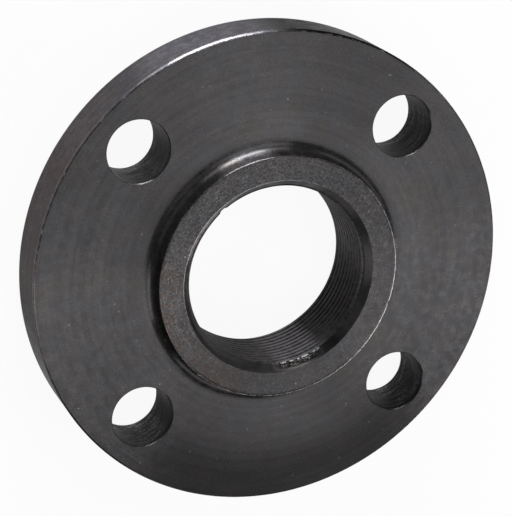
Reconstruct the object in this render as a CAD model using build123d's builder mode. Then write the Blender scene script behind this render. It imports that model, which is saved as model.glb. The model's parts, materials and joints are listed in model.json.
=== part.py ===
from build123d import *
import os

# A two inch class 150 threaded pipe flange, forged and turned from one blank.
# The frame stands on the gasket side: the origin is the centre of the raised
# face, +Z runs up the bore towards the hub, and the bolt holes straddle X and Y.

# Driving dimensions of the disc, in millimetres
flange_diameter = 152.4
disc_thickness = 17.45
rim_front_break = 0.5
rim_back_break = 0.85

# Driving dimensions of the raised gasket face, which ends short of the bolt holes
raised_face_height = 1.6
raised_face_break = 0.2
raised_face_to_holes = 4.425

# Driving dimensions of the hub
hub_diameter = 77.8
length_through_hub = 25.4
hub_root_radius = 3.5
hub_edge_break = 0.3

# Driving dimensions of the bore, drilled parallel before the taper thread is cut
tap_drill_diameter = 57.2
thread_entry_chamfer = 2.5
thread_exit_chamfer = 1.0

# Driving dimensions of the bolting, set in from the rim by the metal left outside the holes
bolt_hole_diameter = 19.7
bolt_hole_count = 4
bolt_hole_edge_break = 0.25
rim_outside_holes = 6.025

# Worked out from the sizes above
flange_radius = flange_diameter / 2
bolt_hole_radius = bolt_hole_diameter / 2
bolt_circle_radius = flange_radius - rim_outside_holes - bolt_hole_radius
raised_face_radius = bolt_circle_radius - bolt_hole_radius - raised_face_to_holes
hub_radius = hub_diameter / 2
bore_radius = tap_drill_diameter / 2
disc_back = raised_face_height
disc_front = raised_face_height + disc_thickness
half_hole_spacing = 180 / bolt_hole_count

os.makedirs("parts", exist_ok=True)

with BuildPart() as flange:
    # Half section as the lathe sees it: radius along X, height along the bore up the page
    with BuildSketch(Plane.XZ) as section:
        with BuildLine():
            Polyline(
                (bore_radius, 0),
                (raised_face_radius, 0),
                (raised_face_radius, disc_back),
                (flange_radius, disc_back),
                (flange_radius, disc_front),
                (hub_radius, disc_front),
                (hub_radius, length_through_hub),
                (bore_radius, length_through_hub),
                close=True,
            )
        make_face()

        def corner(radius, height):
            return section.vertices().sort_by_distance((radius, height))[0]

        # The forged root of the hub, then every turned edge
        fillet(corner(hub_radius, disc_front), radius=hub_root_radius)
        chamfer(corner(hub_radius, length_through_hub), length=hub_edge_break)
        chamfer(corner(flange_radius, disc_front), length=rim_front_break)
        chamfer(corner(flange_radius, disc_back), length=rim_back_break)
        chamfer(corner(raised_face_radius, 0), length=raised_face_break)
        chamfer(corner(bore_radius, length_through_hub), length=thread_entry_chamfer)
        chamfer(corner(bore_radius, 0), length=thread_exit_chamfer)
    revolve(axis=Axis.Z)

    # Bolt holes right through the disc, both mouths with a small broken edge
    with Locations(Plane.XY.offset(disc_front)):
        with PolarLocations(bolt_circle_radius, bolt_hole_count, start_angle=half_hole_spacing):
            Hole(radius=bolt_hole_radius)
    chamfer(flange.edges(Select.LAST).filter_by(GeomType.CIRCLE), length=bolt_hole_edge_break)

flange.part.label = "flange"
export_step(flange.part, "parts/flange.step")

print("flange volume in cubic millimetres", round(flange.part.volume))
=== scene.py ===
import sys
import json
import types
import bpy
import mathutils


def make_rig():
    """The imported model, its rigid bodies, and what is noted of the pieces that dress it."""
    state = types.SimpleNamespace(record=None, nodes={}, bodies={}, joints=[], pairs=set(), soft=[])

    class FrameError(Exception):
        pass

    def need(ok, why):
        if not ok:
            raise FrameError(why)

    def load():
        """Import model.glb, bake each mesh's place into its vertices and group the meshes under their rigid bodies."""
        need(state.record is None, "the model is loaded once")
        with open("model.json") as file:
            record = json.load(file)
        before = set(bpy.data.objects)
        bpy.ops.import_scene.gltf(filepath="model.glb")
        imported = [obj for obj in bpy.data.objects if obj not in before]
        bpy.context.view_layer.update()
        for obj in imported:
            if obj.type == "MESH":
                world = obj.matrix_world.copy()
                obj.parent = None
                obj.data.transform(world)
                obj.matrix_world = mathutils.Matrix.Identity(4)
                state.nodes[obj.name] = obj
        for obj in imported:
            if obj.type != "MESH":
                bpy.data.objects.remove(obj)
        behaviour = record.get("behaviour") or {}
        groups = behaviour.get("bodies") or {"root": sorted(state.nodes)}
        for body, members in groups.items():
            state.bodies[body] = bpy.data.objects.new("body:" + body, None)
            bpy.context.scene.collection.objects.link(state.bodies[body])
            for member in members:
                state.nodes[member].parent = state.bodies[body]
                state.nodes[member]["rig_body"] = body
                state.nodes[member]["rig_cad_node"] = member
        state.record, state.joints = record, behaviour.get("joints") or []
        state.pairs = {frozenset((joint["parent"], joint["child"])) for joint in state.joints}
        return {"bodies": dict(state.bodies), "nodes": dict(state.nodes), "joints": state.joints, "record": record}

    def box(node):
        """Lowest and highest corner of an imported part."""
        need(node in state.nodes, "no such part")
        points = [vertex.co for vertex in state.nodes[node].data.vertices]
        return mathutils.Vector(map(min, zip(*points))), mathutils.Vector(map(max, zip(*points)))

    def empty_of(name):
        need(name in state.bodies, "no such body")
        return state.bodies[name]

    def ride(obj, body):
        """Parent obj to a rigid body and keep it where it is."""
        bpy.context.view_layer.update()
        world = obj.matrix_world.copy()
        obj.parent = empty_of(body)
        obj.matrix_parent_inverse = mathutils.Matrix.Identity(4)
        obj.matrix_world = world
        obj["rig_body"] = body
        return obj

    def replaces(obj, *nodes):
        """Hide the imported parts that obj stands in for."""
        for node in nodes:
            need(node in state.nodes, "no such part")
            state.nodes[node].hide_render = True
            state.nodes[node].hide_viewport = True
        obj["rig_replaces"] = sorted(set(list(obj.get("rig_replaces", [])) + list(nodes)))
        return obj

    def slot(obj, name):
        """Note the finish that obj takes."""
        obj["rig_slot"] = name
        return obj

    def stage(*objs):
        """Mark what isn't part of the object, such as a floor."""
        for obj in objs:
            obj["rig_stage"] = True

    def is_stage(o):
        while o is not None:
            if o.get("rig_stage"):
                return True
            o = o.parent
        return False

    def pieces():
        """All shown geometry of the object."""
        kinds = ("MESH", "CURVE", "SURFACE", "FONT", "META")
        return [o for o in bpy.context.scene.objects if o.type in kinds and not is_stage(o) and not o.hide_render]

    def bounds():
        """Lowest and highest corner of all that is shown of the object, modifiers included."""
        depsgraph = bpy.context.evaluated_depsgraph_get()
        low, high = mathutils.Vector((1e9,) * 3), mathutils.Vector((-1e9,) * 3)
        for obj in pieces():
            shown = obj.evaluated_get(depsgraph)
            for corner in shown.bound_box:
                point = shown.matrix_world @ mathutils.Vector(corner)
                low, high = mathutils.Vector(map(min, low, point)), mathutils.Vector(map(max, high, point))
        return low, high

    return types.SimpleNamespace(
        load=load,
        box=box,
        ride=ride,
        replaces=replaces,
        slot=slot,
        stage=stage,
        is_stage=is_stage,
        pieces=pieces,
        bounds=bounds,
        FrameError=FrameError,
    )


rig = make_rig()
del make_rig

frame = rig.load()

import json
import math

import bmesh
import bpy
from mathutils import Vector, noise
from mathutils.geometry import delaunay_2d_cdt

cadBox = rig.bounds()
mm = 0.001                           # the shape sizes below are in millimetres
lowCorner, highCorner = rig.box("flange")
mountSizes = {mount["name"]: mount["dims"] for mount in frame["record"]["mounts"]}
print("frame loaded, flange", round(highCorner.x * 2 / mm, 1), "mm across")


# Camera

# The camera looks down on the hub from the side that the photograph shows
cameraView = {
    "place": (-0.21111, 0.20835, 0.56628),
    "turn": (-19.2754, -20.4952, 0.2936),   # degrees about X, Y and Z
    "focalLength": 140.29,
    "sensor": 36.0,
}


def placeCamera(view):
    lens = bpy.data.cameras.new("viewCamera")
    lens.sensor_fit = "AUTO"
    lens.sensor_width = view["sensor"]
    lens.lens = view["focalLength"]
    lens.clip_start = 0.02
    lens.clip_end = 50
    camera = bpy.data.objects.new("viewCamera", lens)
    bpy.context.scene.collection.objects.link(camera)
    camera.location = view["place"]
    camera.rotation_euler = [math.radians(angle) for angle in view["turn"]]
    bpy.context.scene.camera = camera


placeCamera(cameraView)
print("camera placed")


# Shape of the flange

flange = {
    "columns": 480,                  # steps round the axis
    "rimRadius": highCorner.x / mm,
    "hubTop": highCorner.z / mm,
    "discFront": 19.05,
    "discBack": 1.6,
    "hubRadius": 38.9,
    "hubRootRadius": 3.5,
    "hubEdge": 0.3,                  # radius of the hub's worn front edge
    "hubEdgeSteps": 3,
    "hubRootSteps": 12,
    "raisedFaceRadius": 46.05,
    "raisedFaceEdge": 0.2,
    "backBevel": 0.85,
    "frontBevelIn": 0.58,            # rim bevel towards the axis, and how much it grows on its wide side
    "frontBevelInSwing": 0.22,
    "frontBevelDown": 0.62,
    "frontBevelDownSwing": 0.28,
    "wideBevelAngle": 105,
    "bevelSteps": 3,
    "guard": 0.12,                   # narrow band that keeps a flat face flat beside a rounding
}

boltHoles = {
    "count": mountSizes["bolts"]["count"],
    "circleRadius": mountSizes["bolts"]["pcd_mm"] / 2,
    "radius": mountSizes["bolts"]["hole_r_mm"],
    "firstAngle": 45,
    "edge": 0.25,
    "edgeWander": 0.1,
    "steps": 80,
    "rings": 30,
    "feedMark": 0.025,               # depth of the drill's feed marks
}

thread = {
    "crestRadius": mountSizes["bore"]["r_mm"],
    "pitch": 25.4 / 11.5,            # two inch taper pipe thread, right hand
    "rootRadius": 30.15,             # at the hub's face
    "taper": 1 / 32,                 # lost radius for each millimetre of depth
    "rootFlat": 0.05,
    "flankSlope": math.tan(math.radians(60)),
    "entryChamfer": 2.5,
    "exitChamfer": 1.0,
    "knockAngle": 127.5,             # where the first full crest is knocked in
    "knockHeight": 21.52,            # height of the groove's middle below it there
    "knockWidth": 3.2,
    "knockDepth": 0.72,
    "wornDepth": 0.12,               # the same crest is worn back before the knock and less and less after it
    "wornFrom": -85,                 # degrees from the knock
    "wornTo": 12,
    "wornFoot": 21.2,
    "tornFrom": 262,
    "tornTo": 302,
    "tornTurns": 2.6,
    "tornDepth": 0.45,
}

# Knocks on the hub's front edge: angle, half width in degrees, depth in millimetres
hubNicks = [
    (341, 1.6, 0.55),
    (335, 0.8, 0.3),
    (318, 0.7, 0.25),
    (301, 0.9, 0.3),
    (289, 0.6, 0.22),
    (232, 0.7, 0.25),
    (70, 0.8, 0.28),
    (62, 0.5, 0.3),
    (108, 24, 0.3),
]


def wrapDegrees(angle):
    return (angle + 180) % 360 - 180


def wander(angle, size, seed):
    # Smooth unevenness round the axis, from about -1 to 1
    turn = math.radians(angle)
    return noise.noise(Vector((math.cos(turn) * size, math.sin(turn) * size, seed)))


def bump(distance, halfWidth):
    if abs(distance) >= halfWidth:
        return 0.0
    return 0.5 + 0.5 * math.cos(math.pi * distance / halfWidth)


def hubEdgeSize(angle):
    size = flange["hubEdge"] * (1 + 0.35 * wander(angle, 14, 3.1) + 0.25 * wander(angle, 60, 7.7))
    for nickAngle, halfWidth, depth in hubNicks:
        size += depth * bump(wrapDegrees(angle - nickAngle), halfWidth)
    return size


def outsideProfile(angle):
    # The turned section at one angle: radius and height, from the bore's mouth round to the raised face
    edge = hubEdgeSize(angle)
    hub, top, front, back = flange["hubRadius"], flange["hubTop"], flange["discFront"], flange["discBack"]
    root, rim, guard = flange["hubRootRadius"], flange["rimRadius"], flange["guard"]
    swing = math.cos(math.radians(angle - flange["wideBevelAngle"]))
    bevelIn = flange["frontBevelIn"] + flange["frontBevelInSwing"] * swing
    bevelDown = flange["frontBevelDown"] + flange["frontBevelDownSwing"] * swing
    uneven = 1 + 0.12 * wander(angle, 22, 1.3) + 0.1 * wander(angle, 90, 5.9)
    bevelIn, bevelDown = bevelIn * uneven, bevelDown * uneven
    points = [(thread["crestRadius"] + thread["entryChamfer"], top)]
    points.append((hub - 1.2, top))
    for step in range(flange["hubEdgeSteps"] + 1):
        turn = math.pi / 2 * step / flange["hubEdgeSteps"]
        points.append((hub - edge + edge * math.sin(turn), top - edge + edge * math.cos(turn)))
    for step in range(flange["hubRootSteps"] + 1):
        turn = math.pi / 2 * step / flange["hubRootSteps"]
        points.append((hub + root - root * math.cos(turn), front + root - root * math.sin(turn)))
    points.append((hub + root + guard, front))
    frontFace = len(points) - 1      # the disc's front face starts at this ring
    for step in range(flange["bevelSteps"] + 1):
        share = step / flange["bevelSteps"]
        bulge = 0.1 * math.sin(math.pi * share)
        points.append((rim - bevelIn * (1 - share) + bevelIn * bulge, front - bevelDown * share + bevelDown * bulge))
    points.append((rim, back + flange["backBevel"]))
    points.append((rim - flange["backBevel"], back))
    backFace = len(points) - 1       # and the back face at this one
    points.append((flange["raisedFaceRadius"], back))
    points.append((flange["raisedFaceRadius"], flange["raisedFaceEdge"]))
    points.append((flange["raisedFaceRadius"] - flange["raisedFaceEdge"], 0))
    points.append((thread["crestRadius"] + thread["exitChamfer"], 0))
    return points, frontFace, backFace


surfaces = ["turnedSteel", "threadedBore", "drilledHoles", "gasketFace"]


def boltCentres():
    step = 360 / boltHoles["count"]
    turns = [math.radians(boltHoles["firstAngle"] + step * n) for n in range(boltHoles["count"])]
    return [(boltHoles["circleRadius"] * math.cos(t), boltHoles["circleRadius"] * math.sin(t)) for t in turns]


def newVert(mesh, radius, angle, height):
    turn = math.radians(angle)
    return mesh.verts.new((radius * math.cos(turn) * mm, radius * math.sin(turn) * mm, height * mm))


def newFace(mesh, corners, surface):
    single = []
    for corner in corners:
        if corner not in single:
            single.append(corner)
    if len(single) > 2:
        face = mesh.faces.new(single)
        face.material_index = surfaces.index(surface)


def joinRings(mesh, first, second, surface):
    count = len(first)
    for n in range(count):
        after = (n + 1) % count
        newFace(mesh, (first[n], second[n], second[after], first[after]), surface)


def flatFace(mesh, inner, outer, holeRings, surface):
    # A flat ring between two circles with the bolt holes left open
    middle = Vector((0, 0))
    corners, spots, owners, edges = [], [], [], []
    for number, (ring, centre) in enumerate(zip((inner, outer, *holeRings), (middle, middle, *boltCentres()))):
        away = [corner.co.xy / mm - Vector(centre) for corner in ring]
        reach = max(spot.length for spot in away)
        start = len(corners)
        corners.extend(ring)
        spots.extend(Vector(centre) + spot.normalized() * reach for spot in away)
        owners.extend([number] * len(ring))
        edges.extend((start + n, start + (n + 1) % len(ring)) for n in range(len(ring)))
    _, _, triangles, sources, _, _ = delaunay_2d_cdt(spots, edges, [], 0, 1e-6)
    for triangle in triangles:
        used = [sources[n][0] for n in triangle]
        rings = {owners[n] for n in used}
        # Three corners on one hole or on the inner circle lie in the opening
        if len(rings) > 1 or rings == {1}:
            newFace(mesh, [corners[n] for n in used], surface)


def drillHole(mesh, centre, seed):
    # One bolt hole with broken edges and the fine rings that the drill's feed leaves
    front, back, steps = flange["discFront"], flange["discBack"], boltHoles["steps"]
    rings = []
    for ring in range(boltHoles["rings"] + 1):
        corners = []
        for step in range(steps):
            turn = 2 * math.pi * step / steps
            wide = 1 + boltHoles["edgeWander"] / boltHoles["edge"] * noise.noise(
                Vector((math.cos(turn) * 3, math.sin(turn) * 3, seed)))
            edge = boltHoles["edge"] * wide
            share = ring / boltHoles["rings"]
            height = front - edge - (front - back - 2 * edge) * share
            mark = noise.noise(Vector((height * 2.3, math.cos(turn) * 0.6, math.sin(turn) * 0.6 + seed * 3)))
            radius = boltHoles["radius"] + boltHoles["feedMark"] * mark
            corners.append((radius, turn, height, edge))
        rings.append(corners)
    mouth = [(radius + edge, turn, front, edge) for radius, turn, _, edge in rings[0]]
    tail = [(radius + edge, turn, back, edge) for radius, turn, _, edge in rings[-1]]
    made = []
    for corners in [mouth, *rings, tail]:
        made.append([mesh.verts.new(((centre[0] + radius * math.cos(turn)) * mm,
                                     (centre[1] + radius * math.sin(turn)) * mm, height * mm))
                     for radius, turn, height, _ in corners])
    for n in range(len(made) - 1):
        atEdge = n in (0, len(made) - 2)
        joinRings(mesh, made[n], made[n + 1], "turnedSteel" if atEdge else "drilledHoles")
    return made[0], made[-1]


def grooveRows(middle):
    # Offset from the groove's middle and radius of each row of one turn; the two chamfers cut it exactly
    top, crest, slope, flat = flange["hubTop"], thread["crestRadius"], thread["flankSlope"], thread["rootFlat"]
    root = thread["rootRadius"] - thread["taper"] * (top - min(max(middle, 0), top))
    entryLow = top - thread["entryChamfer"]
    reach = flat + (root - crest) / slope
    lowMiddle, lipCorner = -(reach + flat) / 2, reach
    lowest = middle - reach
    if lowest > entryLow:
        # Above its mouth the entry chamfer meets the lower flank here
        meet = (slope * lowest - entryLow) / (slope - 1)
        lowMiddle = min(meet - middle, -flat)
    if middle + reach > entryLow:
        # And here it cuts the next crest to a thin lip
        meet = (slope * (middle + reach) + entryLow) / (slope + 1)
        lipCorner = max(meet - middle, flat)
    lip = crest + (reach - lipCorner) * slope
    crestRow = thread["pitch"] / 2
    if reach < entryLow - middle < thread["pitch"] - reach:
        crestRow = entryLow - middle     # the chamfer's own edge lies on this crest
    return [(-reach, crest), (lowMiddle, crest + (lowMiddle + reach) * slope), (-flat, root), (flat, root),
            ((flat + lipCorner) / 2, (root + lip) / 2), (lipCorner, lip), (crestRow, crest)]


def crestWear(angle, height):
    # How far the first full crest is worn and knocked back
    past = wrapDegrees(angle - thread["knockAngle"])
    if past < 0:
        worn = min(max((past - thread["wornFrom"]) / 20, 0), 1)
    else:
        worn = max(1 - past / thread["wornTo"], 0)
    worn = worn * thread["wornDepth"] * (1 + 0.15 * wander(angle, 9, 4.4))
    worn += thread["knockDepth"] * bump(past, thread["knockWidth"])
    return worn * min(max((height - thread["wornFoot"]) / 0.7, 0), 1)


def onChamfer(place):
    inside = thread["crestRadius"] + thread["entryChamfer"] - flange["hubTop"]
    return abs(place.xy.length - place.z - inside) < 0.01


def cutThread(mesh, topRing, bottomRing):
    # The taper thread as a helical grid, its crests left at the drilled radius
    columns, pitch, top, crest = flange["columns"], thread["pitch"], flange["hubTop"], thread["crestRadius"]
    rowsPerTurn = len(grooveRows(0))
    firstTurn = -math.ceil(thread["knockHeight"] / pitch) - 2
    lastTurn = 3
    entryLow = top - thread["entryChamfer"]
    grid = {}
    for turnNumber in range(firstTurn, lastTurn + 1):
        for column in range(columns):
            angle = 360 * column / columns
            middle = thread["knockHeight"] + pitch * (turnNumber + (angle - thread["knockAngle"]) / 360)
            for row, (offset, radius) in enumerate(grooveRows(middle)):
                height = middle + offset
                radius = max(radius + tornCrest(angle, height), crest + crestWear(angle, height),
                             crest + height - entryLow, crest + thread["exitChamfer"] - height)
                key = (turnNumber * rowsPerTurn + row, column)
                if height >= top:
                    grid[key] = topRing[column]
                elif height <= 0:
                    grid[key] = bottomRing[column]
                else:
                    grid[key] = newVert(mesh, radius, angle, height)
    lastRow = lastTurn * rowsPerTurn + rowsPerTurn - 1
    for row in range(firstTurn * rowsPerTurn, lastRow):
        for column in range(columns):
            # Once round, the helix meets the turn above
            after, lift = (column + 1, 0) if column + 1 < columns else (0, rowsPerTurn)
            if row + 1 + lift <= lastRow:
                corners = (grid[row, column], grid[row + lift, after],
                           grid[row + 1 + lift, after], grid[row + 1, column])
                turned = all(onChamfer(corner.co / mm) for corner in corners)
                newFace(mesh, corners, "turnedSteel" if turned else "threadedBore")


def tornCrest(angle, height):
    # Torn metal on the first crests low in the bore
    span = (thread["tornTo"] - thread["tornFrom"]) / 2
    around = bump(wrapDegrees(angle - thread["tornFrom"] - span), span)
    depth = thread["pitch"] * thread["tornTurns"]
    along = bump(flange["hubTop"] - height - depth / 2, depth * 0.6)
    rough = noise.noise(Vector((math.radians(angle) * 60, height * 3.1, 2.4)))
    return thread["tornDepth"] * around * along * rough


def buildFlange():
    mesh = bmesh.new()
    rings = None
    for column in range(flange["columns"]):
        angle = 360 * column / flange["columns"]
        points, frontFace, backFace = outsideProfile(angle)
        if rings is None:
            rings = [[] for _ in points]
        for ring, (radius, height) in zip(rings, points):
            ring.append(newVert(mesh, radius, angle, height))
    mouths, tails = [], []
    for number, centre in enumerate(boltCentres()):
        mouth, tail = drillHole(mesh, centre, 11.3 * (number + 1))
        mouths.append(mouth)
        tails.append(tail)
    for n in range(len(rings) - 1):
        if n == frontFace:
            flatFace(mesh, rings[n], rings[n + 1], mouths, "turnedSteel")
        elif n == backFace:
            flatFace(mesh, rings[n + 1], rings[n], tails, "turnedSteel")
        else:
            joinRings(mesh, rings[n], rings[n + 1], "gasketFace" if n == len(rings) - 2 else "turnedSteel")
    cutThread(mesh, rings[0], rings[-1])
    bmesh.ops.recalc_face_normals(mesh, faces=mesh.faces)
    sharpAngle = math.radians(27)
    for face in mesh.faces:
        face.smooth = True
    for edge in mesh.edges:
        edge.smooth = len(edge.link_faces) == 2 and edge.calc_face_angle(0) < sharpAngle
    data = bpy.data.meshes.new("threadedFlange")
    openEdges = sum(len(edge.link_faces) != 2 for edge in mesh.edges)
    loose = [vert for vert in mesh.verts if not vert.link_faces]
    bmesh.ops.delete(mesh, geom=loose, context="VERTS")
    mesh.to_mesh(data)
    mesh.free()
    triangles = sum(len(face.vertices) - 2 for face in data.polygons)
    print("flange mesh:", triangles, "triangles,", openEdges, "open edges,", len(loose), "loose points")
    piece = bpy.data.objects.new("threadedFlange", data)
    bpy.context.scene.collection.objects.link(piece)
    return piece


# Nodes

def addNode(tree, kind, **settings):
    node = tree.nodes.new(kind)
    for name, value in settings.items():
        setattr(node, name, value)
    node.location = (-1600 + 180 * (len(tree.nodes) % 12), 600 - 220 * (len(tree.nodes) // 12))
    return node


def feed(tree, socket, value):
    if isinstance(value, bpy.types.NodeSocket):
        tree.links.new(value, socket)
    else:
        socket.default_value = value


def calc(tree, operation, first, second=None, third=None, clamp=False):
    node = addNode(tree, "ShaderNodeMath", operation=operation, use_clamp=clamp)
    for socket, value in zip(node.inputs, (first, second, third)):
        if value is not None:
            feed(tree, socket, value)
    return node.outputs[0]


def ramp(tree, value, low, high, lowTo=0.0, highTo=1.0):
    # Smooth step of a value between two limits
    node = addNode(tree, "ShaderNodeMapRange", interpolation_type="SMOOTHSTEP")
    for name, given in (("Value", value), ("From Min", low), ("From Max", high), ("To Min", lowTo), ("To Max", highTo)):
        feed(tree, node.inputs[name], given)
    return node.outputs["Result"]


def blendColours(tree, share, first, second, how="MIX"):
    node = addNode(tree, "ShaderNodeMix", data_type="RGBA", blend_type=how)
    feed(tree, node.inputs["Factor"], share)
    feed(tree, node.inputs["A"], first)
    feed(tree, node.inputs["B"], second)
    return node.outputs["Result"]


def noiseAt(tree, place, scale, detail=2.0, roughness=0.5, distortion=0.0):
    node = addNode(tree, "ShaderNodeTexNoise")
    feed(tree, node.inputs["Vector"], place)
    feed(tree, node.inputs["Scale"], scale)
    node.inputs["Detail"].default_value = detail
    node.inputs["Roughness"].default_value = roughness
    node.inputs["Distortion"].default_value = distortion
    return node.outputs["Fac"]


def joinVector(tree, x, y, z):
    node = addNode(tree, "ShaderNodeCombineXYZ")
    for socket, value in zip(node.inputs, (x, y, z)):
        feed(tree, socket, value)
    return node.outputs[0]


def startGroup(name, inputs, outputs):
    tree = bpy.data.node_groups.new(name, "ShaderNodeTree")
    for socketName, kind, value in inputs:
        socket = tree.interface.new_socket(socketName, in_out="INPUT", socket_type=kind)
        socket.default_value = value
    for socketName, kind in outputs:
        tree.interface.new_socket(socketName, in_out="OUTPUT", socket_type=kind)
    return tree, tree.nodes.new("NodeGroupInput").outputs, tree.nodes.new("NodeGroupOutput").inputs


def useGroup(tree, group, **values):
    node = addNode(tree, "ShaderNodeGroup", node_tree=group)
    for name, value in values.items():
        feed(tree, node.inputs[name], value)
    return node.outputs


def turnedCoordinates():
    # Millimetres from the axis, height above the gasket face and direction round the axis
    tree, _, out = startGroup("turnedCoordinates", [], [
        ("Point", "NodeSocketVector"), ("Radius", "NodeSocketFloat"), ("Height", "NodeSocketFloat"),
        ("AroundX", "NodeSocketFloat"), ("AroundY", "NodeSocketFloat")])
    place = addNode(tree, "ShaderNodeTexCoord").outputs["Object"]
    scaled = addNode(tree, "ShaderNodeVectorMath", operation="SCALE")
    feed(tree, scaled.inputs[0], place)
    scaled.inputs["Scale"].default_value = 1 / mm
    parts = addNode(tree, "ShaderNodeSeparateXYZ")
    tree.links.new(scaled.outputs[0], parts.inputs[0])
    x, y, z = parts.outputs
    radius = calc(tree, "SQRT", calc(tree, "ADD", calc(tree, "MULTIPLY", x, x), calc(tree, "MULTIPLY", y, y)))
    tree.links.new(scaled.outputs[0], out["Point"])
    tree.links.new(radius, out["Radius"])
    tree.links.new(z, out["Height"])
    tree.links.new(calc(tree, "DIVIDE", x, radius), out["AroundX"])
    tree.links.new(calc(tree, "DIVIDE", y, radius), out["AroundY"])
    return tree


def turningMarks(coordinates):
    # Fine rings left by the lathe, each fading in and out as it goes round
    tree, given, out = startGroup("turningMarks", [
        ("Fineness", "NodeSocketFloat", 4.0), ("Streak", "NodeSocketFloat", 3.0), ("Seed", "NodeSocketFloat", 0.0)],
        [("Height", "NodeSocketFloat"), ("Shade", "NodeSocketFloat")])
    where = useGroup(tree, coordinates)
    across = calc(tree, "MULTIPLY", calc(tree, "ADD", where["Radius"], where["Height"]), given["Fineness"])
    along = joinVector(tree, calc(tree, "ADD", across, given["Seed"]),
                       calc(tree, "MULTIPLY", where["AroundX"], given["Streak"]),
                       calc(tree, "MULTIPLY", where["AroundY"], given["Streak"]))
    fine = noiseAt(tree, along, 1.0, 3.0, 0.6)
    broad = noiseAt(tree, along, 0.22, 2.0, 0.5)
    tree.links.new(fine, out["Height"])
    tree.links.new(calc(tree, "MULTIPLY", calc(tree, "ADD", fine, broad), 0.5), out["Shade"])
    return tree


def oxideMottle(coordinates):
    # Cloudy changes of tone and hue in the dark oxide
    tree, given, out = startGroup("oxideMottle", [
        ("Cloud", "NodeSocketFloat", 0.07), ("Warmth", "NodeSocketFloat", 0.5), ("Contrast", "NodeSocketFloat", 0.3),
        ("Tone", "NodeSocketColor", (0.085, 0.084, 0.085, 1))],
        [("Color", "NodeSocketColor"), ("Mask", "NodeSocketFloat")])
    point = useGroup(tree, coordinates)["Point"]
    cloud = noiseAt(tree, point, given["Cloud"], 4.0, 0.55, 0.4)
    hue = noiseAt(tree, point, calc(tree, "MULTIPLY", given["Cloud"], 1.7), 3.0, 0.5)
    mottle = noiseAt(tree, point, 0.38, 5.0, 0.66)
    tone = calc(tree, "ADD", calc(tree, "MULTIPLY", calc(tree, "SUBTRACT", cloud, 0.5), given["Contrast"]), 1.0)
    tone = calc(tree, "MULTIPLY", tone, ramp(tree, mottle, 0.3, 0.7, 0.83, 1.17))
    grey = joinVector(tree, tone, tone, tone)
    base = blendColours(tree, 1.0, given["Tone"], grey, "MULTIPLY")
    warm = blendColours(tree, 1.0, base, (1.13, 1.0, 0.88, 1), "MULTIPLY")
    cool = blendColours(tree, 1.0, base, (0.92, 0.98, 1.12, 1), "MULTIPLY")
    tinted = blendColours(tree, ramp(tree, hue, 0.38, 0.62), cool, warm)
    tree.links.new(blendColours(tree, given["Warmth"], base, tinted), out["Color"])
    tree.links.new(mottle, out["Mask"])
    return tree


def edgeWear(coordinates):
    # Bare metal along a turned edge, given by the edge's own circle
    tree, given, out = startGroup("edgeWear", [
        ("Edge Radius", "NodeSocketFloat", 38.0), ("Edge Height", "NodeSocketFloat", 25.0),
        ("Width", "NodeSocketFloat", 0.5), ("Breakup", "NodeSocketFloat", 0.5), ("Scale", "NodeSocketFloat", 0.5),
        ("Side X", "NodeSocketFloat", 1.0), ("Side Y", "NodeSocketFloat", 0.0), ("One Sided", "NodeSocketFloat", 0.0)],
        [("Mask", "NodeSocketFloat")])
    where = useGroup(tree, coordinates)
    aside = calc(tree, "SUBTRACT", where["Radius"], given["Edge Radius"])
    above = calc(tree, "SUBTRACT", where["Height"], given["Edge Height"])
    away = calc(tree, "SQRT", calc(tree, "ADD", calc(tree, "MULTIPLY", aside, aside),
                                   calc(tree, "MULTIPLY", above, above)))
    near = calc(tree, "SUBTRACT", 1.0, calc(tree, "DIVIDE", away, given["Width"]), clamp=True)
    patches = noiseAt(tree, where["Point"], given["Scale"], 4.0, 0.7)
    worn = calc(tree, "SUBTRACT", calc(tree, "ADD", near, patches), calc(tree, "ADD", given["Breakup"], 0.5))
    facing = calc(tree, "ADD", calc(tree, "MULTIPLY", where["AroundX"], given["Side X"]),
                  calc(tree, "MULTIPLY", where["AroundY"], given["Side Y"]))
    spared = calc(tree, "MULTIPLY", calc(tree, "SUBTRACT", 1.0, facing), given["One Sided"])
    worn = calc(tree, "SUBTRACT", worn, spared)
    tree.links.new(calc(tree, "MULTIPLY", ramp(tree, worn, 0.0, 0.3), ramp(tree, near, 0.0, 0.25)), out["Mask"])
    return tree


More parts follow.
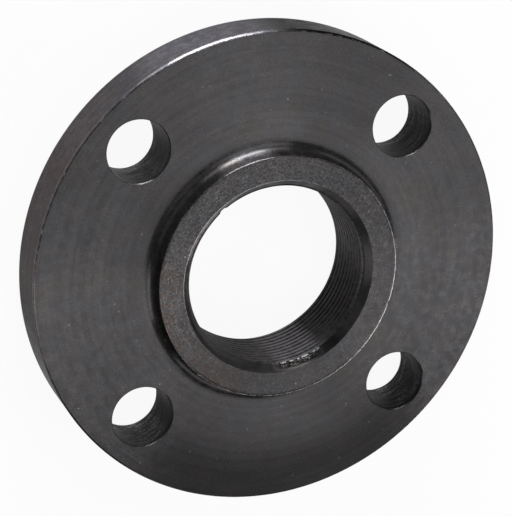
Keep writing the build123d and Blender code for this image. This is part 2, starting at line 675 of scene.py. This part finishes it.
def boltEdgeWear(coordinates):
    # The same along the mouths of the bolt holes, folded into one quarter of the disc
    centre = boltHoles["circleRadius"] * math.cos(math.radians(boltHoles["firstAngle"]))
    tree, given, out = startGroup("boltEdgeWear", [
        ("Edge Height", "NodeSocketFloat", 19.0), ("Width", "NodeSocketFloat", 0.5),
        ("Breakup", "NodeSocketFloat", 0.5)],
        [("Mask", "NodeSocketFloat")])
    where = useGroup(tree, coordinates)
    parts = addNode(tree, "ShaderNodeSeparateXYZ")
    tree.links.new(where["Point"], parts.inputs[0])
    x = calc(tree, "SUBTRACT", calc(tree, "ABSOLUTE", parts.outputs[0]), centre)
    y = calc(tree, "SUBTRACT", calc(tree, "ABSOLUTE", parts.outputs[1]), centre)
    reach = calc(tree, "SQRT", calc(tree, "ADD", calc(tree, "MULTIPLY", x, x), calc(tree, "MULTIPLY", y, y)))
    aside = calc(tree, "SUBTRACT", reach, boltHoles["radius"] + boltHoles["edge"] / 2)
    above = calc(tree, "SUBTRACT", where["Height"], given["Edge Height"])
    away = calc(tree, "SQRT", calc(tree, "ADD", calc(tree, "MULTIPLY", aside, aside),
                                   calc(tree, "MULTIPLY", above, above)))
    near = calc(tree, "SUBTRACT", 1.0, calc(tree, "DIVIDE", away, given["Width"]), clamp=True)
    patches = noiseAt(tree, where["Point"], 0.5, 4.0, 0.7)
    worn = calc(tree, "SUBTRACT", calc(tree, "ADD", near, patches), calc(tree, "ADD", given["Breakup"], 0.5))
    tree.links.new(calc(tree, "MULTIPLY", ramp(tree, worn, 0.0, 0.3), ramp(tree, near, 0.0, 0.25)), out["Mask"])
    return tree


def rustSpecks(coordinates):
    # Small orange spots that gather in loose drifts
    tree, given, out = startGroup("rustSpecks", [
        ("Scale", "NodeSocketFloat", 0.9), ("Amount", "NodeSocketFloat", 0.5)],
        [("Mask", "NodeSocketFloat")])
    point = useGroup(tree, coordinates)["Point"]
    spots = noiseAt(tree, point, given["Scale"], 3.0, 0.6)
    drift = noiseAt(tree, point, 0.06, 2.0, 0.5)
    limit = calc(tree, "SUBTRACT", 0.86, calc(tree, "MULTIPLY", given["Amount"], calc(tree, "MULTIPLY", drift, 0.3)))
    tree.links.new(ramp(tree, calc(tree, "SUBTRACT", spots, limit), 0.0, 0.05), out["Mask"])
    return tree


def handlingScratches(coordinates):
    # Light scratches: arcs left by turning on a tool or a bench, straight ones across them, and fine specks
    tree, given, out = startGroup("handlingScratches", [
        ("Arcs", "NodeSocketFloat", 0.5), ("Strays", "NodeSocketFloat", 0.5), ("Specks", "NodeSocketFloat", 0.5),
        ("Fineness", "NodeSocketFloat", 2.8)],
        [("Mask", "NodeSocketFloat")])
    where = useGroup(tree, coordinates)
    across = calc(tree, "MULTIPLY", where["Radius"], given["Fineness"])
    around = joinVector(tree, across, calc(tree, "MULTIPLY", where["AroundX"], 7.0),
                        calc(tree, "MULTIPLY", where["AroundY"], 7.0))
    arcs = ramp(tree, noiseAt(tree, around, 1.0, 1.5, 0.6), 0.52, 0.68)
    patches = ramp(tree, noiseAt(tree, where["Point"], 0.2, 2.0, 0.5), 0.42, 0.56, 0.25, 1.0)
    total = calc(tree, "MULTIPLY", calc(tree, "MULTIPLY", arcs, patches), given["Arcs"])
    parts = addNode(tree, "ShaderNodeSeparateXYZ")
    tree.links.new(where["Point"], parts.inputs[0])
    x, y, _ = parts.outputs
    for number, lean in enumerate((17, 64, 118, 156)):
        sine, cosine = math.sin(math.radians(lean)), math.cos(math.radians(lean))
        lengthwise = calc(tree, "ADD", calc(tree, "MULTIPLY", x, cosine), calc(tree, "MULTIPLY", y, sine))
        sideways = calc(tree, "SUBTRACT", calc(tree, "MULTIPLY", y, cosine), calc(tree, "MULTIPLY", x, sine))
        track = joinVector(tree, calc(tree, "MULTIPLY", lengthwise, 0.16),
                           calc(tree, "MULTIPLY", sideways, 2.2), 7.3 * number)
        stray = ramp(tree, noiseAt(tree, track, 1.0, 2.0, 0.6), 0.63, 0.74)
        total = calc(tree, "ADD", total, calc(tree, "MULTIPLY", stray, given["Strays"]))
    specks = ramp(tree, noiseAt(tree, where["Point"], 1.7, 3.0, 0.7), 0.55, 0.7)
    total = calc(tree, "ADD", total, calc(tree, "MULTIPLY", specks, given["Specks"]), clamp=True)
    tree.links.new(total, out["Mask"])
    return tree


coordinates = turnedCoordinates()
groups = {
    "marks": turningMarks(coordinates),
    "mottle": oxideMottle(coordinates),
    "edgeWear": edgeWear(coordinates),
    "boltEdgeWear": boltEdgeWear(coordinates),
    "rust": rustSpecks(coordinates),
    "scratches": handlingScratches(coordinates),
}
print("node groups built:", len(groups) + 1)


# Materials

def startMaterial(name):
    material = bpy.data.materials.new(name)
    material.use_nodes = True
    tree = material.node_tree
    return material, tree, tree.nodes["Principled BSDF"]


def roughen(tree, shader, heights):
    # Bump nodes one after another: height, strength and distance in millimetres
    normal = None
    for height, strength, distance in heights:
        node = addNode(tree, "ShaderNodeBump")
        feed(tree, node.inputs["Height"], height)
        node.inputs["Strength"].default_value = strength
        node.inputs["Distance"].default_value = distance * mm
        if normal is not None:
            tree.links.new(normal, node.inputs["Normal"])
        normal = node.outputs[0]
    tree.links.new(normal, shader.inputs["Normal"])


def sideShare(tree, where, angle, halfWidth):
    # 1 on the side that faces one direction round the axis, fading out at so many degrees from it
    turn = math.radians(angle)
    facing = calc(tree, "ADD", calc(tree, "MULTIPLY", where["AroundX"], math.cos(turn)),
                  calc(tree, "MULTIPLY", where["AroundY"], math.sin(turn)))
    return ramp(tree, facing, math.cos(math.radians(min(halfWidth * 1.3, 180))), math.cos(math.radians(halfWidth * 0.7)))


def tonesRound(tree, where, tones):
    # A grey factor of painted light and shade from tones of which each has an angle, a half width, two heights and how
    # much lighter
    tone = 1.0
    for angle, halfWidth, none, full, lighter in tones:
        share = calc(tree, "MULTIPLY", sideShare(tree, where, angle, halfWidth), lighter)
        share = calc(tree, "MULTIPLY", share, ramp(tree, where["Height"], none, full))
        tone = calc(tree, "ADD", share, tone)
    return joinVector(tree, tone, tone, tone)


def edgeValues(edge):
    # The wear group's inputs for one edge
    radius, height, width, breakup, scale, side, oneSided = edge
    turn = math.radians(side)
    return {"Edge Radius": radius, "Edge Height": height, "Width": width, "Breakup": breakup, "Scale": scale,
            "Side X": math.cos(turn), "Side Y": math.sin(turn), "One Sided": oneSided}


turnedFinish = {
    "tone": (0.0482, 0.0463, 0.0475, 1),
    "paleTone": (0.13, 0.127, 0.13, 1),
    "brownTone": (0.066, 0.047, 0.035, 1),
    "bareMetal": (0.62, 0.6, 0.57, 1),
    "rust": (0.21, 0.075, 0.025, 1),
    "metallic": 0.85,
    "edgeTint": (0.35, 0.35, 0.35, 1),  # holds back the glare at a grazing angle
    "roughness": 0.26,
    "anisotropy": 0.8,
    "turn": 0.25,
    # radius, height, width of the wear, how broken, scale of the breaks, most worn side, how one sided
    "hubEdge": (38.78, 25.28, 0.46, 0.47, 0.9, 320, 0.33),
    "rimEdge": (75.7, 18.9, 0.7, 0.9, 0.4, 130, 0.08),
    "mouthEdge": (31.12, 25.4, 0.36, 0.42, 0.9, 140, 0.8),
    "hubFace": (25.2, 25.35),        # height over which the hub's face takes its scratches
    "brownSide": (206, 38),          # angle round the axis and half width in degrees
    "scratchedSide": (160, 65),
    "speckledSide": (120, 105),
    "tornSide": (284, 14),           # torn stretch of the thread's entry chamfer
    "tornTop": (25.3, 24.4),         # height over which it fades out
    "mouthRoughness": 0.1,           # what the chamfer is rougher by
    # painted light and shade round the chamfer: angle, half width, heights from none to full, and how much lighter
    "mouthTones": [
        (113, 43, 22.0, 23.5, 2.9),
        (205, 42, 23.9, 24.2, -0.4),
        (188, 34, 24.1, 23.9, 0.45),
        (288, 24, 22.0, 22.8, -0.45),
        (305, 15, 22.0, 22.8, -0.3),
    ],
    # and the same painted light and shade round the rim's wall and the hub's wall
    "rimTones": [
        (104, 16, 1.0, 2.0, 0.8),
        (150, 50, 1.0, 2.0, 0.6),
        (208, 26, 1.0, 2.0, -0.9),
        (71, 18, 1.0, 2.0, -0.9),
        (160, 50, 18.2, 18.5, 1.1),
    ],
    "hubTones": [
        (105, 13, 20.5, 21.5, 1.2),
    ],
    # and the same painted light and shade round the disc's front face, all of it and its inner part
    "discTones": [
        (14, 34, 1.0, 2.0, 0.12),
        (102, 24, 1.0, 2.0, 0.11),
    ],
    "innerTones": [
        (245, 35, 1.0, 2.0, 0.16),
        (0, 180, 1.0, 2.0, 0.09),
    ],
    "innerDisc": (57, 47),
    "rimWall": (75.5, 75.8),         # radius from which the rim's tones count
    "hubWall": (39.6, 39.2),         # and down to which the hub's do, below its edge
    "hubWallTop": (25.25, 25.1),
    "blueSide": (98, 30),
    "redSide": (185, 50),
    "darkSide": (275, 38),           # painted shade on the outer part of the disc
    "darkFrom": (54, 68),
}


def turnedSteel(look):
    material, tree, shader = startMaterial("turnedSteel")
    where = useGroup(tree, coordinates)
    mottle = useGroup(tree, groups["mottle"], Tone=look["tone"], Contrast=0.5, Warmth=0.26)
    marks = useGroup(tree, groups["marks"], Fineness=3.2, Streak=2.2)
    colour = blendColours(tree, ramp(tree, marks["Shade"], 0.35, 0.65, 0.0, 0.12), mottle["Color"], look["paleTone"])
    onHub = ramp(tree, where["Height"], *look["hubFace"])
    turnedArcs = ramp(tree, sideShare(tree, where, *look["scratchedSide"]), 0.0, 1.0, 0.3, 1.1)
    scratches = useGroup(tree, groups["scratches"], Arcs=turnedArcs, Strays=0.65, Specks=0.5)["Mask"]
    shown = calc(tree, "MULTIPLY", scratches, calc(tree, "ADD", calc(tree, "MULTIPLY", onHub, 0.9), 0.1))
    colour = blendColours(tree, calc(tree, "MULTIPLY", shown, 0.58), colour, look["paleTone"])
    speckle = ramp(tree, noiseAt(tree, where["Point"], 1.9, 3.0, 0.7), 0.35, 0.65, 0.56, 1.42)
    speckled = ramp(tree, onHub, 0.0, 1.0, 0.25, 1.0)
    speckledSide = ramp(tree, sideShare(tree, where, *look["speckledSide"]), 0.0, 1.0, 0.5, 1.0)
    speckled = calc(tree, "MULTIPLY", speckled, speckledSide)
    colour = blendColours(tree, speckled, colour, blendColours(tree, 1.0, colour, joinVector(tree, speckle, speckle, speckle),
                                                            "MULTIPLY"))
    brown = calc(tree, "MULTIPLY", onHub, sideShare(tree, where, *look["brownSide"]))
    stain = ramp(tree, noiseAt(tree, where["Point"], 0.7, 4.0, 0.65), 0.45, 0.7)
    colour = blendColours(tree, calc(tree, "MULTIPLY", calc(tree, "MULTIPLY", brown, stain), 0.55), colour,
                          look["brownTone"])
    bare = useGroup(tree, groups["edgeWear"], **edgeValues(look["hubEdge"]))["Mask"]
    rimWear = useGroup(tree, groups["edgeWear"], **edgeValues(look["rimEdge"]))["Mask"]
    holeWear = useGroup(tree, groups["boltEdgeWear"], **{"Edge Height": flange["discFront"], "Width": 0.45,
                                                         "Breakup": 0.95})["Mask"]
    bare = calc(tree, "MAXIMUM", bare, calc(tree, "MAXIMUM", holeWear, rimWear))
    # A pale line along the mouth's edge, mostly on one side, in bare metal's colour
    mouthWear = useGroup(tree, groups["edgeWear"], **edgeValues(look["mouthEdge"]))["Mask"]
    bare = calc(tree, "MAXIMUM", bare, calc(tree, "MULTIPLY", mouthWear, 0.35))
    inMouth = ramp(tree, where["Radius"], 31.3, 31.1)
    torn = calc(tree, "MULTIPLY", inMouth, sideShare(tree, where, *look["tornSide"]))
    torn = calc(tree, "MULTIPLY", torn, ramp(tree, where["Height"], *look["tornTop"]))
    pits = noiseAt(tree, where["Point"], 2.8, 3.0, 0.7)
    chips = ramp(tree, calc(tree, "ADD", pits, calc(tree, "MULTIPLY", torn, 0.3)), 0.86, 0.94, 0.0, 0.75)
    bare = calc(tree, "MAXIMUM", bare, calc(tree, "MULTIPLY", torn, chips))
    onRim = ramp(tree, where["Radius"], *look["rimWall"])
    onHubWall = calc(tree, "MULTIPLY", ramp(tree, where["Radius"], *look["hubWall"]),
                     ramp(tree, where["Height"], *look["hubWallTop"]))
    onHubWall = calc(tree, "MULTIPLY", onHubWall, ramp(tree, where["Radius"], 38.3, 38.5))
    onDisc = calc(tree, "MULTIPLY", ramp(tree, where["Height"], 19.3, 19.1), ramp(tree, where["Radius"], 42.5, 43.5))
    onDisc = calc(tree, "MULTIPLY", onDisc, calc(tree, "SUBTRACT", 1.0, onRim))
    onInner = calc(tree, "MULTIPLY", onDisc, ramp(tree, where["Radius"], *look["innerDisc"]))
    # Painted light and shade round the chamfer, the rim's wall, the hub's wall and the disc
    for part, tones in ((inMouth, "mouthTones"), (onRim, "rimTones"), (onHubWall, "hubTones"),
                        (onDisc, "discTones"), (onInner, "innerTones")):
        shade = tonesRound(tree, where, look[tones])
        colour = blendColours(tree, part, colour, blendColours(tree, 1.0, colour, shade, "MULTIPLY"))
    blue = calc(tree, "MULTIPLY", onRim, sideShare(tree, where, *look["blueSide"]))
    red = calc(tree, "MULTIPLY", onRim, sideShare(tree, where, *look["redSide"]))
    colour = blendColours(tree, blue, colour, blendColours(tree, 1.0, colour, (0.98, 0.98, 1.06, 1), "MULTIPLY"))
    colour = blendColours(tree, red, colour, blendColours(tree, 1.0, colour, (1.06, 0.97, 0.97, 1), "MULTIPLY"))
    # Painted shade on the outer disc, broken up by the mottle, and dark pits in the torn stretch of the chamfer
    dark = calc(tree, "MULTIPLY", sideShare(tree, where, *look["darkSide"]), ramp(tree, where["Radius"], *look["darkFrom"]))
    dark = calc(tree, "MULTIPLY", dark, ramp(tree, mottle["Mask"], 0.2, 0.8, 0.42, 0.56))
    dark = calc(tree, "MAXIMUM", dark, calc(tree, "MULTIPLY", torn, ramp(tree, pits, 0.5, 0.44)))
    colour = blendColours(tree, dark, colour, (0, 0, 0, 1))
    colour = blendColours(tree, bare, colour, look["bareMetal"])
    # Sparse pale specks in bare metal's colour
    dents = ramp(tree, noiseAt(tree, where["Point"], 0.8, 2.0, 0.5), 0.745, 0.79, 0.0, 0.26)
    colour = blendColours(tree, dents, colour, look["bareMetal"])
    rust = useGroup(tree, groups["rust"], Scale=0.9, Amount=0.5)["Mask"]
    edgeRust = ramp(tree, noiseAt(tree, where["Point"], 1.3, 3.0, 0.6), 0.56, 0.66, 0.0, 0.45)
    nearEdge = ramp(tree, where["Radius"], 33.5, 37.5)
    edgeRust = calc(tree, "MULTIPLY", edgeRust, calc(tree, "MULTIPLY", brown, nearEdge))
    colour = blendColours(tree, calc(tree, "MAXIMUM", rust, edgeRust), colour, look["rust"])
    tree.links.new(colour, shader.inputs["Base Color"])
    rough = calc(tree, "ADD", ramp(tree, mottle["Mask"], 0.3, 0.7, -0.04, 0.04), look["roughness"])
    rough = calc(tree, "ADD", rough, calc(tree, "MULTIPLY", inMouth, look["mouthRoughness"]))
    tree.links.new(calc(tree, "ADD", rough, calc(tree, "MULTIPLY", bare, 0.2)), shader.inputs["Roughness"])
    shader.inputs["Metallic"].default_value = look["metallic"]
    shader.inputs["Specular Tint"].default_value = look["edgeTint"]
    shader.inputs["Anisotropic"].default_value = look["anisotropy"]
    shader.inputs["Anisotropic Rotation"].default_value = look["turn"]
    tangent = addNode(tree, "ShaderNodeTangent", direction_type="RADIAL", axis="Z")
    tree.links.new(tangent.outputs[0], shader.inputs["Tangent"])
    grain = noiseAt(tree, where["Point"], 2.6, 4.0, 0.65)
    deepPits = calc(tree, "MULTIPLY", calc(tree, "SUBTRACT", pits, 0.5), torn)
    roughen(tree, shader, [(marks["Height"], 0.25, 0.02), (grain, 0.12, 0.04), (deepPits, 1.0, 0.5)])
    return material


boreFinish = {
    "tone": (0.0435, 0.0408, 0.0415, 1),
    # colour of the painted highlight on the bore's lit side
    "brightTone": (0.150, 0.144, 0.156, 1),
    "metallic": 0.8,
    "roughness": 0.4,
    "edgeTint": (0.5, 0.5, 0.5, 1),  # holds back the glare at a grazing angle
    "crest": (28.85, 28.65),         # radius over which a crest takes the most painted shade
    "rubbed": (28.92, 29.08),        # and over which its flank takes the painted highlight
    "flat": (28.68, 28.62),
    # radius over which the roots take painted shade
    "rootDirt": (29.1, 29.5),
    "cutSide": (286, 14),            # side with painted highlights on the flanks and painted shade in the grooves, angle round the axis and half width in degrees
    "sootSide": (326, 34),           # side with painted shade, the darkest
    "lipSide": (12, 33),             # where the first full crest takes a painted highlight and its roots painted shade
    "lipHeight": (21.2, 21.5),
    "streaks": 26.0,                 # streaks down the bore for each radian
}


def threadedBore(look):
    material, tree, shader = startMaterial("threadedBore")
    where = useGroup(tree, coordinates)
    mottle = useGroup(tree, groups["mottle"], Tone=look["tone"], Contrast=0.5, Warmth=0.25, Cloud=0.12)
    crest = ramp(tree, where["Radius"], *look["crest"])
    cut = sideShare(tree, where, *look["cutSide"])
    soot = sideShare(tree, where, *look["sootSide"])
    lip = calc(tree, "MULTIPLY", sideShare(tree, where, *look["lipSide"]), ramp(tree, where["Height"], *look["lipHeight"]))
    down = joinVector(tree, calc(tree, "MULTIPLY", where["AroundX"], look["streaks"]),
                      calc(tree, "MULTIPLY", where["AroundY"], look["streaks"]),
                      calc(tree, "MULTIPLY", where["Height"], 0.35))
    streaks = noiseAt(tree, down, 1.0, 4.0, 0.7)
    shade = ramp(tree, streaks, 0.3, 0.7, 0.62, 1.4)
    # Painted shade on the darkest side, most on the crests
    sooty = calc(tree, "MULTIPLY", soot, calc(tree, "ADD", calc(tree, "MULTIPLY", crest, 0.5), 0.05))
    shade = calc(tree, "MULTIPLY", shade, calc(tree, "SUBTRACT", 1.0, sooty))
    deep = calc(tree, "MAXIMUM", ramp(tree, where["Radius"], *look["rubbed"]),
                ramp(tree, where["Radius"], *look["flat"]))
    # Painted shade in the grooves of the lit side and in the roots behind the first full crest
    dirt = calc(tree, "MAXIMUM", calc(tree, "MULTIPLY", cut, calc(tree, "SUBTRACT", 1.0, deep)),
                calc(tree, "MULTIPLY", lip, ramp(tree, where["Radius"], *look["rootDirt"])))
    shade = calc(tree, "MULTIPLY", shade, calc(tree, "SUBTRACT", 1.0, calc(tree, "MULTIPLY", dirt, 0.3)))
    colour = blendColours(tree, 1.0, mottle["Color"], joinVector(tree, shade, shade, shade), "MULTIPLY")
    # Painted highlight on the lit side's flanks and crest flats, and on the first full crest
    bright = calc(tree, "MAXIMUM", calc(tree, "MULTIPLY", deep, calc(tree, "MULTIPLY", cut, 0.8)),
                  calc(tree, "MULTIPLY", calc(tree, "SUBTRACT", 1.0, deep), calc(tree, "MULTIPLY", lip, 0.4)))
    bright = calc(tree, "MULTIPLY", bright, ramp(tree, streaks, 0.3, 0.6, 0.4, 1.0))
    colour = blendColours(tree, bright, colour, look["brightTone"])
    tree.links.new(colour, shader.inputs["Base Color"])
    shader.inputs["Metallic"].default_value = look["metallic"]
    shader.inputs["Roughness"].default_value = look["roughness"]
    shader.inputs["Specular Tint"].default_value = look["edgeTint"]
    chatter = noiseAt(tree, where["Point"], 1.6, 4.0, 0.65)
    roughen(tree, shader, [(streaks, 0.4, 0.1), (chatter, 0.6, 0.1)])
    return material


holeFinish = {
    # dark scale on the hole walls, made darker still as painted shade against the bright floor that they reflect
    "tone": (0.014, 0.0135, 0.0142, 1),
    "paleTone": (0.064, 0.062, 0.067, 1),
    "metallic": 1.0,
    "edgeTint": (0.62, 0.62, 0.62, 1),
    "roughness": 0.45,
    "rust": (0.21, 0.075, 0.025, 1),
    "rings": 0.8,                    # drill marks for each millimetre of depth
    # painted light and shade round each hole: angle, half width, heights from none to full, how much lighter, in which
    # holes
    "tones": [
        (256, 38, 11.0, 4.0, 1.1, "all"),
        (312, 50, 3.0, 8.0, -0.4, "all"),
        (12, 46, 1.0, 2.0, -0.5, "left"),
        (12, 46, 1.0, 2.0, -0.3, "lowerLeft"),
        (292, 60, 1.0, 2.0, 0.5, "left"),
        (290, 180, 16.9, 17.9, -0.45, "all"),
    ],
}


def drilledHoles(look):
    material, tree, shader = startMaterial("drilledHoles")
    where = useGroup(tree, coordinates)
    mottle = useGroup(tree, groups["mottle"], Tone=look["tone"], Contrast=0.9, Warmth=0.3, Cloud=0.2)
    parts = addNode(tree, "ShaderNodeSeparateXYZ")
    tree.links.new(where["Point"], parts.inputs[0])
    x, y, z = parts.outputs
    # The drill's marks run round the hole, so the noise is drawn out across its depth
    track = joinVector(tree, calc(tree, "MULTIPLY", x, 0.16), calc(tree, "MULTIPLY", y, 0.16),
                       calc(tree, "MULTIPLY", z, look["rings"]))
    rings = noiseAt(tree, track, 1.0, 2.0, 0.6, 0.3)
    grain = noiseAt(tree, where["Point"], 1.4, 4.0, 0.7)
    scored = calc(tree, "MULTIPLY", ramp(tree, rings, 0.38, 0.62), ramp(tree, grain, 0.42, 0.58, 0.05, 1.0))
    centre = boltHoles["circleRadius"] * math.cos(math.radians(boltHoles["firstAngle"]))
    aside = calc(tree, "SUBTRACT", x, calc(tree, "MULTIPLY", calc(tree, "SIGN", x), centre))
    along = calc(tree, "SUBTRACT", y, calc(tree, "MULTIPLY", calc(tree, "SIGN", y), centre))
    inHole = {"AroundX": calc(tree, "DIVIDE", aside, boltHoles["radius"]),
              "AroundY": calc(tree, "DIVIDE", along, boltHoles["radius"])}
    rightHoles = calc(tree, "GREATER_THAN", x, 0.0)
    leftHoles = calc(tree, "SUBTRACT", 1.0, rightHoles)
    which = {"all": 1.0, "right": rightHoles, "left": leftHoles,
             "lowerLeft": calc(tree, "MULTIPLY", leftHoles, calc(tree, "LESS_THAN", y, 0.0))}
    # Painted light and shade on the hole walls
    tone = 1.0
    for angle, halfWidth, none, full, lighter, holes in look["tones"]:
        share = calc(tree, "MULTIPLY", sideShare(tree, inHole, angle, halfWidth), lighter)
        share = calc(tree, "MULTIPLY", share, ramp(tree, z, none, full))
        tone = calc(tree, "ADD", calc(tree, "MULTIPLY", share, which[holes]), tone)
    colour = blendColours(tree, scored, mottle["Color"], look["paleTone"])
    colour = blendColours(tree, 1.0, colour, joinVector(tree, tone, tone, tone), "MULTIPLY")
    specks = useGroup(tree, groups["rust"], Scale=0.9, Amount=1.0)["Mask"]
    rust = calc(tree, "MULTIPLY", specks, which["lowerLeft"])
    colour = blendColours(tree, rust, colour, look["rust"])
    tree.links.new(colour, shader.inputs["Base Color"])
    shader.inputs["Metallic"].default_value = look["metallic"]
    shader.inputs["Roughness"].default_value = look["roughness"]
    shader.inputs["Specular Tint"].default_value = look["edgeTint"]
    roughen(tree, shader, [(rings, 0.7, 0.18), (grain, 0.6, 0.12)])
    return material


gasketFinish = {
    "tone": (0.06, 0.06, 0.061, 1),
    "metallic": 1.0,
    "roughness": 0.36,
    "grooves": 2.0,                  # serrations for each millimetre of radius
}


def gasketFace(look):
    material, tree, shader = startMaterial("gasketFace")
    where = useGroup(tree, coordinates)
    mottle = useGroup(tree, groups["mottle"], Tone=look["tone"], Contrast=0.3, Warmth=0.5)
    tree.links.new(mottle["Color"], shader.inputs["Base Color"])
    shader.inputs["Metallic"].default_value = look["metallic"]
    shader.inputs["Roughness"].default_value = look["roughness"]
    swing = calc(tree, "SINE", calc(tree, "MULTIPLY", where["Radius"], 2 * math.pi * look["grooves"]))
    grain = noiseAt(tree, where["Point"], 2.6, 4.0, 0.65)
    roughen(tree, shader, [(swing, 0.6, 0.05), (grain, 0.25, 0.05)])
    return material


piece = buildFlange()
for surface in surfaces:
    finish = {"turnedSteel": turnedFinish, "threadedBore": boreFinish,
              "drilledHoles": holeFinish, "gasketFace": gasketFinish}[surface]
    piece.data.materials.append(globals()[surface](finish))
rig.ride(piece, "root")
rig.replaces(piece, "flange")
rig.slot(piece, "steel")
print("flange dressed")


# Studio

studio = {
    "floorColour": (0.86, 0.86, 0.86, 1),
    "whiteShare": 0.93,              # how much of the floor seen is plain white, the rest keeps the shadow
    "worldGrey": 0.04,
    "tentRadius": 2.5,               # dark walls of the studio, which only reflections see
    "tentGrey": 0.1,
    "lampAim": (0, 0, 0.01),
    "lamps": {
        # direction round and up in degrees, distance, size across and up, brightness where 1 is white
        "keyLamp": (91, 9, 1.0, (0.50, 0.40), 23.5),
        "topStrip": (91, 9, 1.0, (1.10, 0.32), 2.6),
        "sideSoftbox": (328, 27, 1.0, (0.45, 0.35), 9.9),
        "frontStrip": (262, 10, 1.0, (0.60, 0.30), 1.8),
        "overheadSide": (324, 64, 1.0, (0.50, 0.50), 1.67),
        "overheadFront": (252, 62, 1.0, (0.50, 0.40), 2.04),
        "overheadTop": (70, 56, 1.0, (0.50, 0.50), 2.05),
        "leftFill": (209, 36, 1.0, (0.45, 0.45), 2.25),
        "rightStrip": (20, 12, 1.0, (0.80, 0.35), 1.1),
        "cameraFill": (135, 62, 1.0, (0.50, 0.50), 0.4),
        "leftStrip": (150, 10, 1.0, (0.70, 0.30), 0.45),
    },
}


def seenDirectly(tree):
    # 1 for camera, glossy and transmission rays
    path = addNode(tree, "ShaderNodeLightPath").outputs
    seen = calc(tree, "ADD", path["Is Camera Ray"], path["Is Glossy Ray"])
    return calc(tree, "ADD", seen, path["Is Transmission Ray"], clamp=True)


def makeFloor(look):
    half = 4.0
    data = bpy.data.meshes.new("floor")
    data.from_pydata([(-half, -half, 0), (half, -half, 0), (half, half, 0), (-half, half, 0)], [], [(0, 1, 2, 3)])
    floor = bpy.data.objects.new("floor", data)
    bpy.context.scene.collection.objects.link(floor)
    material, tree, shader = startMaterial("paleFloor")
    shader.inputs["Base Color"].default_value = look["floorColour"]
    shader.inputs["Roughness"].default_value = 0.9
    shader.inputs["Specular IOR Level"].default_value = 0.0
    white = addNode(tree, "ShaderNodeEmission")
    white.inputs["Strength"].default_value = 1.0
    mix = addNode(tree, "ShaderNodeMixShader")
    feed(tree, mix.inputs[0], calc(tree, "MULTIPLY", seenDirectly(tree), look["whiteShare"]))
    tree.links.new(shader.outputs[0], mix.inputs[1])
    tree.links.new(white.outputs[0], mix.inputs[2])
    tree.links.new(mix.outputs[0], tree.nodes["Material Output"].inputs["Surface"])
    data.materials.append(material)
    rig.stage(floor)


def makeWorld(look):
    world = bpy.data.worlds.new("studioWorld")
    bpy.context.scene.world = world
    world.use_nodes = True
    tree = world.node_tree
    background = tree.nodes["Background"]
    background.inputs["Color"].default_value = (1, 1, 1, 1)
    seen = seenDirectly(tree)
    tree.links.new(ramp(tree, seen, 0.0, 1.0, look["worldGrey"], 1.0), background.inputs["Strength"])


def addLamps(look):
    aim = Vector(look["lampAim"])
    for name, (round_, up, away, (across, high), level) in look["lamps"].items():
        turn, lift = math.radians(round_), math.radians(up)
        side = Vector((math.cos(turn) * math.cos(lift), math.sin(turn) * math.cos(lift), math.sin(lift)))
        lamp = bpy.data.lights.new(name, "AREA")
        lamp.shape = "RECTANGLE"
        lamp.size, lamp.size_y = across, high
        lamp.energy = level * math.pi * across * high
        holder = bpy.data.objects.new(name, lamp)
        holder.location = aim + side * away
        holder.rotation_euler = (-side).to_track_quat("-Z", "Y").to_euler()
        holder.visible_camera = False
        bpy.context.scene.collection.objects.link(holder)


def hangTent(look):
    mesh = bmesh.new()
    bmesh.ops.create_uvsphere(mesh, u_segments=48, v_segments=24, radius=look["tentRadius"])
    below = [vert for vert in mesh.verts if vert.co.z < -0.01]
    bmesh.ops.delete(mesh, geom=below, context="VERTS")
    data = bpy.data.meshes.new("studioTent")
    mesh.to_mesh(data)
    mesh.free()
    tent = bpy.data.objects.new("studioTent", data)
    bpy.context.scene.collection.objects.link(tent)
    material, tree, shader = startMaterial("tentCloth")
    shader.inputs["Base Color"].default_value = (*[look["tentGrey"]] * 3, 1)
    shader.inputs["Roughness"].default_value = 1.0
    shader.inputs["Specular IOR Level"].default_value = 0.0
    data.materials.append(material)
    tent.visible_camera = False
    tent.visible_shadow = False
    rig.stage(tent)


makeFloor(studio)
makeWorld(studio)
hangTent(studio)
addLamps(studio)
bpy.context.scene.view_settings.view_transform = "Standard"
print("studio lit")

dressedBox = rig.bounds()
with open("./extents.json", "w") as sizes:
    json.dump({"cad": [list(corner) for corner in cadBox], "visual": [list(corner) for corner in dressedBox]}, sizes)
